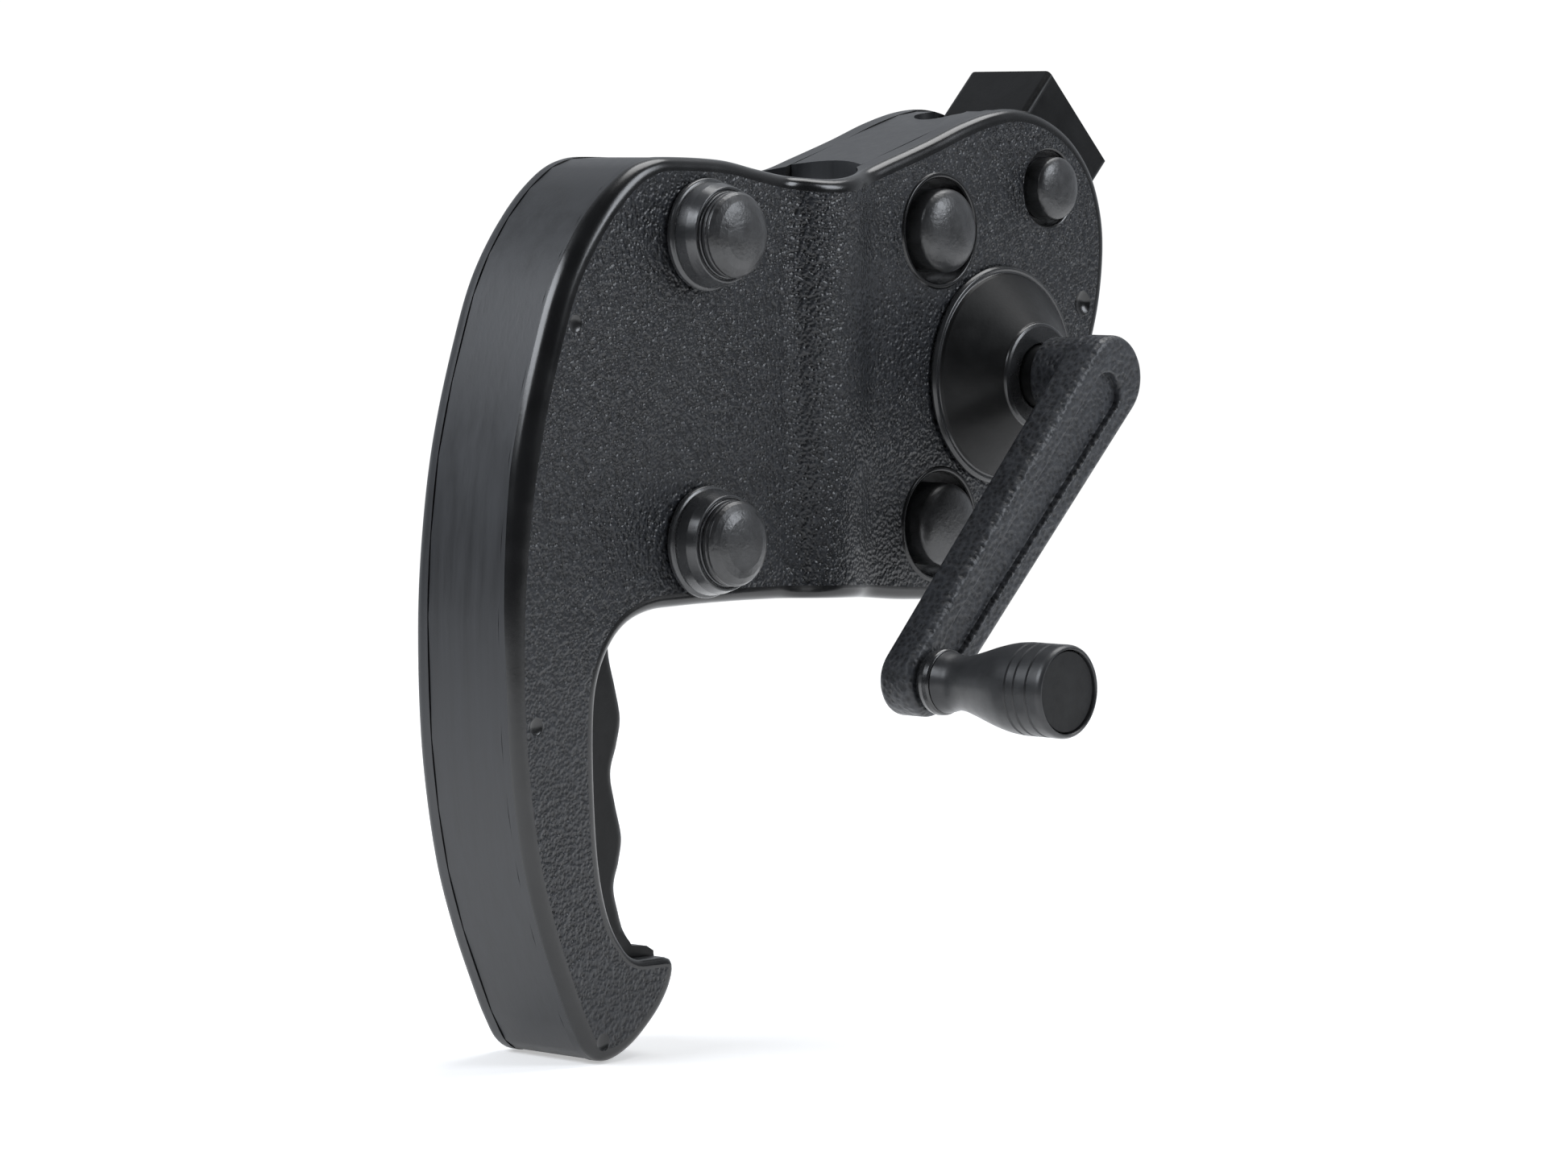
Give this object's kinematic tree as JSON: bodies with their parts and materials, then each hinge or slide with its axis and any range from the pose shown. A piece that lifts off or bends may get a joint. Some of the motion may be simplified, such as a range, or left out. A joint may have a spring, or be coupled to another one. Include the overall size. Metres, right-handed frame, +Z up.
{
  "type": "cantilever parasol slider bracket",
  "caption": "Grab-handle slider for a cantilever parasol mast, with a strut socket, a crank and cord drum, and a squeeze lever that pulls a lock pin.",
  "frame": {"origin": "on the axis of the mast's round tube, half-way between the two covers, at the height of the crank's axis", "axes": "+Z up along the mast, +X from the handle to the crank, +Y from the front cover, which carries the crank, to the rear cover"},
  "size_m": [0.2671, 0.1543, 0.2821],
  "materials": {
    "cover_plastic": "black, leather grain, smooth rounded rim",
    "core_plastic": "anthracite, smooth",
    "cap_plastic": "black, semi-gloss",
    "moulded_plastic": "black, smooth satin",
    "crank_casting": "charcoal hammered paint on an aluminium casting",
    "knob_plastic": "charcoal, smooth",
    "acetal": "off-white bearing plastic",
    "steel": "zinc plated"
  },
  "bodies": {
    "slider": {"arm_block": "core_plastic", "bolt_collar_lower": "cap_plastic", "bolt_collar_upper": "cap_plastic", "brake_sleeve": "steel", "clamp_bolt_left_lower": "steel", "clamp_bolt_left_upper": "steel", "clamp_bolt_right_lower": "steel", "clamp_bolt_right_upper": "steel", "clamp_nut_left_lower": "steel", "clamp_nut_left_upper": "steel", "clamp_nut_right_lower": "steel", "clamp_nut_right_upper": "steel", "cover_screw_1": "steel", "cover_screw_2": "steel", "cover_screw_3": "steel", "cover_screw_4": "steel", "crank_housing": "moulded_plastic", "front_bush": "moulded_plastic", "front_cover": "cover_plastic", "guide_shoe_lower": "acetal", "guide_shoe_upper": "acetal", "handle_core": "core_plastic", "left_cap_front_lower": "cap_plastic", "left_cap_front_upper": "cap_plastic", "left_cap_rear_lower": "cap_plastic", "left_cap_rear_upper": "cap_plastic", "lever_pivot_pin": "steel", "lock_pin_guide": "acetal", "lock_spring": "steel", "pivot_cap_front": "cap_plastic", "pivot_cap_rear": "cap_plastic", "pivot_nut": "steel", "pivot_pin": "steel", "rear_bush": "acetal", "rear_cover": "cover_plastic", "right_cap_front_lower": "cap_plastic", "right_cap_front_upper": "cap_plastic", "right_cap_rear_lower": "cap_plastic", "right_cap_rear_upper": "cap_plastic"},
    "strut_arm": {"arm_socket": "moulded_plastic", "socket_screw": "steel", "pivot_bush_front": "acetal", "pivot_bush_rear": "acetal"},
    "crank": {"crank_arm": "crank_casting", "crank_shaft": "steel", "cord_drum": "moulded_plastic", "drive_hub": "steel", "brake_spring": "steel", "shaft_clip": "steel", "hub_pin": "steel", "knob_screw": "steel", "knob_ferrule": "moulded_plastic"},
    "knob": {"knob_grip": "knob_plastic", "knob_end_cap": "knob_plastic"},
    "lever": {"release_lever": "moulded_plastic"},
    "lock": {"lock_pin": "steel", "lock_cross_pin": "steel"},
    "roller_upper": {"guide_roller_upper": "acetal"},
    "roller_lower": {"guide_roller_lower": "acetal"}
  },
  "joints": [
    {"name": "strut_pivot", "type": "hinge", "parent": "slider", "child": "strut_arm", "pos_m": [0.0985, 0, 0.0564], "axis": [0, 1, 0], "range_deg": [-45, 33]},
    {"name": "crank_turn", "type": "hinge", "parent": "slider", "child": "crank", "pos_m": [0.0754, 0, 0], "axis": [0, 1, 0], "continuous": true},
    {"name": "knob_spin", "type": "hinge", "parent": "crank", "child": "knob", "pos_m": [-0.0089, -0.09, -0.0844], "axis": [0, 1, 0], "continuous": true},
    {"name": "lever_squeeze", "type": "hinge", "parent": "slider", "child": "lever", "pos_m": [-0.085, 0, -0.172], "axis": [0, -1, 0], "range_deg": [0, 4.5], "stiffness_Nm_per_rad": 8, "springref_deg": -1.72, "deforming": ["lock_spring"]},
    {"name": "lock_pin_slide", "type": "slide", "parent": "slider", "child": "lock", "axis": [-1, 0, 0], "range_m": [0, 0.0136], "deforming": ["lock_spring"]},
    {"name": "roller_upper_spin", "type": "hinge", "parent": "slider", "child": "roller_upper", "pos_m": [-0.055, 0, 0.044], "axis": [0, 1, 0], "continuous": true},
    {"name": "roller_lower_spin", "type": "hinge", "parent": "slider", "child": "roller_lower", "pos_m": [-0.055, 0, -0.044], "axis": [0, 1, 0], "continuous": true}
  ],
  "couplings": [
    {"joint": "lock_pin_slide", "follows": "lever_squeeze", "m_per_rad": 0.172}
  ]
}
